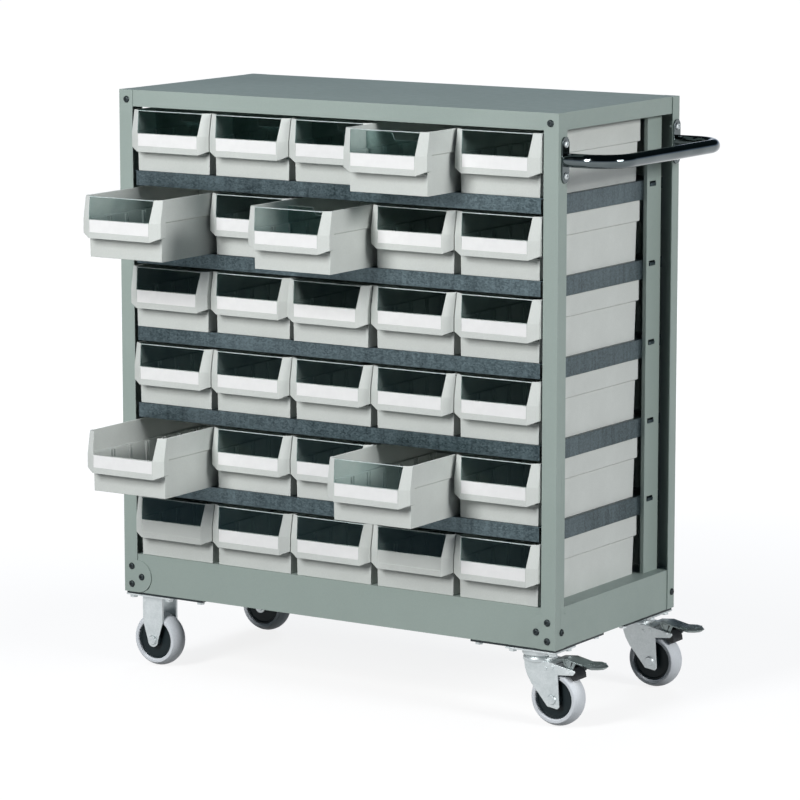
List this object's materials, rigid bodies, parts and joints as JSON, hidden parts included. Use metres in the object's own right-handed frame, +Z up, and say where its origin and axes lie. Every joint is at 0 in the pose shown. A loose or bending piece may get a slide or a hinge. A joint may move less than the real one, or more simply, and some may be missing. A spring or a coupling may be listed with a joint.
{
  "type": "parts bin cabinet",
  "caption": "Mobile sheet-metal cabinet with rows of pull-out plastic shelf bins on galvanised shelves, a tubular push handle, and fixed and braked swivel castors.",
  "frame": {"origin": "middle of the bounding box's base, on the floor", "axes": "+X along the front towards the push handle, +Y from the front to the back, +Z up"},
  "size_m": [1.0322, 0.5878, 1.065],
  "materials": {
    "frame_paint": "grey-green powder coat, satin",
    "galvanised_steel": "galvanised sheet, dull with a fine spangle",
    "zinc_plate": "bright zinc plate",
    "chrome": "polished chrome",
    "black_screws": "black oxide and black paint",
    "bin_plastic": "light grey moulded polypropylene",
    "tyre_rubber": "light grey non-marking rubber",
    "hub_plastic": "black nylon",
    "clear_pane": "clear polystyrene pane",
    "label_card": "blank white card"
  },
  "bodies": {
    "cabinet": {"top_tray": "frame_paint", "base_tray": "frame_paint", "front_posts": "frame_paint", "rear_posts": "frame_paint", "slotted_uprights": "frame_paint", "back_panel": "frame_paint", "shelf_1": "galvanised_steel", "shelf_2": "galvanised_steel", "shelf_3": "galvanised_steel", "shelf_4": "galvanised_steel", "shelf_5": "galvanised_steel", "push_handle": "chrome", "handle_screws": "zinc_plate", "frame_screws": "black_screws", "castor_mount_plates": "black_screws", "castor_bolts": "zinc_plate", "fixed_forks": "zinc_plate", "swivel_top_plates": "zinc_plate"},
    "bin_1_1": {"bin_1_1": "bin_plastic"},
    "bin_1_2": {"bin_1_2": "bin_plastic"},
    "bin_1_3": {"bin_1_3": "bin_plastic"},
    "bin_1_4": {"bin_1_4": "bin_plastic"},
    "bin_1_5": {"bin_1_5": "bin_plastic"},
    "bin_2_1": {"bin_2_1": "bin_plastic"},
    "bin_2_2": {"bin_2_2": "bin_plastic"},
    "bin_2_3": {"bin_2_3": "bin_plastic"},
    "bin_2_4": {"bin_2_4": "bin_plastic"},
    "bin_2_5": {"bin_2_5": "bin_plastic"},
    "bin_3_1": {"bin_3_1": "bin_plastic"},
    "bin_3_2": {"bin_3_2": "bin_plastic"},
    "bin_3_3": {"bin_3_3": "bin_plastic"},
    "bin_3_4": {"bin_3_4": "bin_plastic"},
    "bin_3_5": {"bin_3_5": "bin_plastic"},
    "bin_4_1": {"bin_4_1": "bin_plastic"},
    "bin_4_2": {"bin_4_2": "bin_plastic"},
    "bin_4_3": {"bin_4_3": "bin_plastic"},
    "bin_4_4": {"bin_4_4": "bin_plastic"},
    "bin_4_5": {"bin_4_5": "bin_plastic"},
    "bin_5_1": {"bin_5_1": "bin_plastic"},
    "bin_5_2": {"bin_5_2": "bin_plastic"},
    "bin_5_3": {"bin_5_3": "bin_plastic"},
    "bin_5_4": {"bin_5_4": "bin_plastic"},
    "bin_5_5": {"bin_5_5": "bin_plastic"},
    "bin_6_1": {"bin_6_1": "bin_plastic"},
    "bin_6_2": {"bin_6_2": "bin_plastic"},
    "bin_6_3": {"bin_6_3": "bin_plastic"},
    "bin_6_4": {"bin_6_4": "bin_plastic"},
    "bin_6_5": {"bin_6_5": "bin_plastic"},
    "wheel_front_left": {"tyre_front_left": "tyre_rubber", "hub_front_left": "hub_plastic"},
    "wheel_rear_left": {"tyre_rear_left": "tyre_rubber", "hub_rear_left": "hub_plastic"},
    "wheel_front_right": {"tyre_front_right": "tyre_rubber", "hub_front_right": "hub_plastic"},
    "wheel_rear_right": {"tyre_rear_right": "tyre_rubber", "hub_rear_right": "hub_plastic"},
    "swivel_front": {"swivel_fork_front": "zinc_plate"},
    "brake_front": {"brake_pedal_front": "zinc_plate"},
    "swivel_rear": {"swivel_fork_rear": "zinc_plate"},
    "brake_rear": {"brake_pedal_rear": "zinc_plate"}
  },
  "joints": [
    {"name": "bin_1_1_slide", "type": "slide", "parent": "cabinet", "child": "bin_1_1", "axis": [0, -1, 0], "range_m": [0, 0.25]},
    {"name": "bin_1_2_slide", "type": "slide", "parent": "cabinet", "child": "bin_1_2", "axis": [0, -1, 0], "range_m": [0, 0.25]},
    {"name": "bin_1_3_slide", "type": "slide", "parent": "cabinet", "child": "bin_1_3", "axis": [0, -1, 0], "range_m": [0, 0.25]},
    {"name": "bin_1_4_slide", "type": "slide", "parent": "cabinet", "child": "bin_1_4", "axis": [0, -1, 0], "range_m": [-0.086, 0.164]},
    {"name": "bin_1_5_slide", "type": "slide", "parent": "cabinet", "child": "bin_1_5", "axis": [0, -1, 0], "range_m": [0, 0.25]},
    {"name": "bin_2_1_slide", "type": "slide", "parent": "cabinet", "child": "bin_2_1", "axis": [0, -1, 0], "range_m": [-0.147, 0.103]},
    {"name": "bin_2_2_slide", "type": "slide", "parent": "cabinet", "child": "bin_2_2", "axis": [0, -1, 0], "range_m": [0, 0.25]},
    {"name": "bin_2_3_slide", "type": "slide", "parent": "cabinet", "child": "bin_2_3", "axis": [0, -1, 0], "range_m": [-0.127, 0.123]},
    {"name": "bin_2_4_slide", "type": "slide", "parent": "cabinet", "child": "bin_2_4", "axis": [0, -1, 0], "range_m": [0, 0.25]},
    {"name": "bin_2_5_slide", "type": "slide", "parent": "cabinet", "child": "bin_2_5", "axis": [0, -1, 0], "range_m": [0, 0.25]},
    {"name": "bin_3_1_slide", "type": "slide", "parent": "cabinet", "child": "bin_3_1", "axis": [0, -1, 0], "range_m": [-0.008, 0.242]},
    {"name": "bin_3_2_slide", "type": "slide", "parent": "cabinet", "child": "bin_3_2", "axis": [0, -1, 0], "range_m": [0, 0.25]},
    {"name": "bin_3_3_slide", "type": "slide", "parent": "cabinet", "child": "bin_3_3", "axis": [0, -1, 0], "range_m": [-0.008, 0.242]},
    {"name": "bin_3_4_slide", "type": "slide", "parent": "cabinet", "child": "bin_3_4", "axis": [0, -1, 0], "range_m": [0, 0.25]},
    {"name": "bin_3_5_slide", "type": "slide", "parent": "cabinet", "child": "bin_3_5", "axis": [0, -1, 0], "range_m": [0, 0.25]},
    {"name": "bin_4_1_slide", "type": "slide", "parent": "cabinet", "child": "bin_4_1", "axis": [0, -1, 0], "range_m": [0, 0.25]},
    {"name": "bin_4_2_slide", "type": "slide", "parent": "cabinet", "child": "bin_4_2", "axis": [0, -1, 0], "range_m": [0, 0.25]},
    {"name": "bin_4_3_slide", "type": "slide", "parent": "cabinet", "child": "bin_4_3", "axis": [0, -1, 0], "range_m": [0, 0.25]},
    {"name": "bin_4_4_slide", "type": "slide", "parent": "cabinet", "child": "bin_4_4", "axis": [0, -1, 0], "range_m": [0, 0.25]},
    {"name": "bin_4_5_slide", "type": "slide", "parent": "cabinet", "child": "bin_4_5", "axis": [0, -1, 0], "range_m": [0, 0.25]},
    {"name": "bin_5_1_slide", "type": "slide", "parent": "cabinet", "child": "bin_5_1", "axis": [0, -1, 0], "range_m": [-0.144, 0.106]},
    {"name": "bin_5_2_slide", "type": "slide", "parent": "cabinet", "child": "bin_5_2", "axis": [0, -1, 0], "range_m": [0, 0.25]},
    {"name": "bin_5_3_slide", "type": "slide", "parent": "cabinet", "child": "bin_5_3", "axis": [0, -1, 0], "range_m": [0, 0.25]},
    {"name": "bin_5_4_slide", "type": "slide", "parent": "cabinet", "child": "bin_5_4", "axis": [0, -1, 0], "range_m": [-0.138, 0.112]},
    {"name": "bin_5_5_slide", "type": "slide", "parent": "cabinet", "child": "bin_5_5", "axis": [0, -1, 0], "range_m": [0, 0.25]},
    {"name": "bin_6_1_slide", "type": "slide", "parent": "cabinet", "child": "bin_6_1", "axis": [0, -1, 0], "range_m": [0, 0.25]},
    {"name": "bin_6_2_slide", "type": "slide", "parent": "cabinet", "child": "bin_6_2", "axis": [0, -1, 0], "range_m": [0, 0.25]},
    {"name": "bin_6_3_slide", "type": "slide", "parent": "cabinet", "child": "bin_6_3", "axis": [0, -1, 0], "range_m": [0, 0.25]},
    {"name": "bin_6_4_slide", "type": "slide", "parent": "cabinet", "child": "bin_6_4", "axis": [0, -1, 0], "range_m": [0, 0.25]},
    {"name": "bin_6_5_slide", "type": "slide", "parent": "cabinet", "child": "bin_6_5", "axis": [0, -1, 0], "range_m": [0, 0.25]},
    {"name": "swivel_front_turn", "type": "hinge", "parent": "cabinet", "child": "swivel_front", "pos_m": [0.35515, -0.09345, 0.125], "axis": [0, 0, 1], "continuous": true},
    {"name": "brake_front_press", "type": "hinge", "parent": "swivel_front", "child": "brake_front", "pos_m": [0.42415, -0.09345, 0.103], "axis": [0, 1, 0], "range_deg": [0, 5]},
    {"name": "swivel_rear_turn", "type": "hinge", "parent": "cabinet", "child": "swivel_rear", "pos_m": [0.35515, 0.25255, 0.125], "axis": [0, 0, 1], "continuous": true},
    {"name": "brake_rear_press", "type": "hinge", "parent": "swivel_rear", "child": "brake_rear", "pos_m": [0.42415, 0.25255, 0.103], "axis": [0, 1, 0], "range_deg": [0, 5]},
    {"name": "wheel_front_left_roll", "type": "hinge", "parent": "cabinet", "child": "wheel_front_left", "pos_m": [-0.46085, -0.09345, 0.05], "axis": [0, 1, 0], "continuous": true},
    {"name": "wheel_rear_left_roll", "type": "hinge", "parent": "cabinet", "child": "wheel_rear_left", "pos_m": [-0.46085, 0.25255, 0.05], "axis": [0, 1, 0], "continuous": true},
    {"name": "wheel_front_right_roll", "type": "hinge", "parent": "swivel_front", "child": "wheel_front_right", "pos_m": [0.39215, -0.09345, 0.05], "axis": [0, 1, 0], "continuous": true},
    {"name": "wheel_rear_right_roll", "type": "hinge", "parent": "swivel_rear", "child": "wheel_rear_right", "pos_m": [0.39215, 0.25255, 0.05], "axis": [0, 1, 0], "continuous": true}
  ]
}
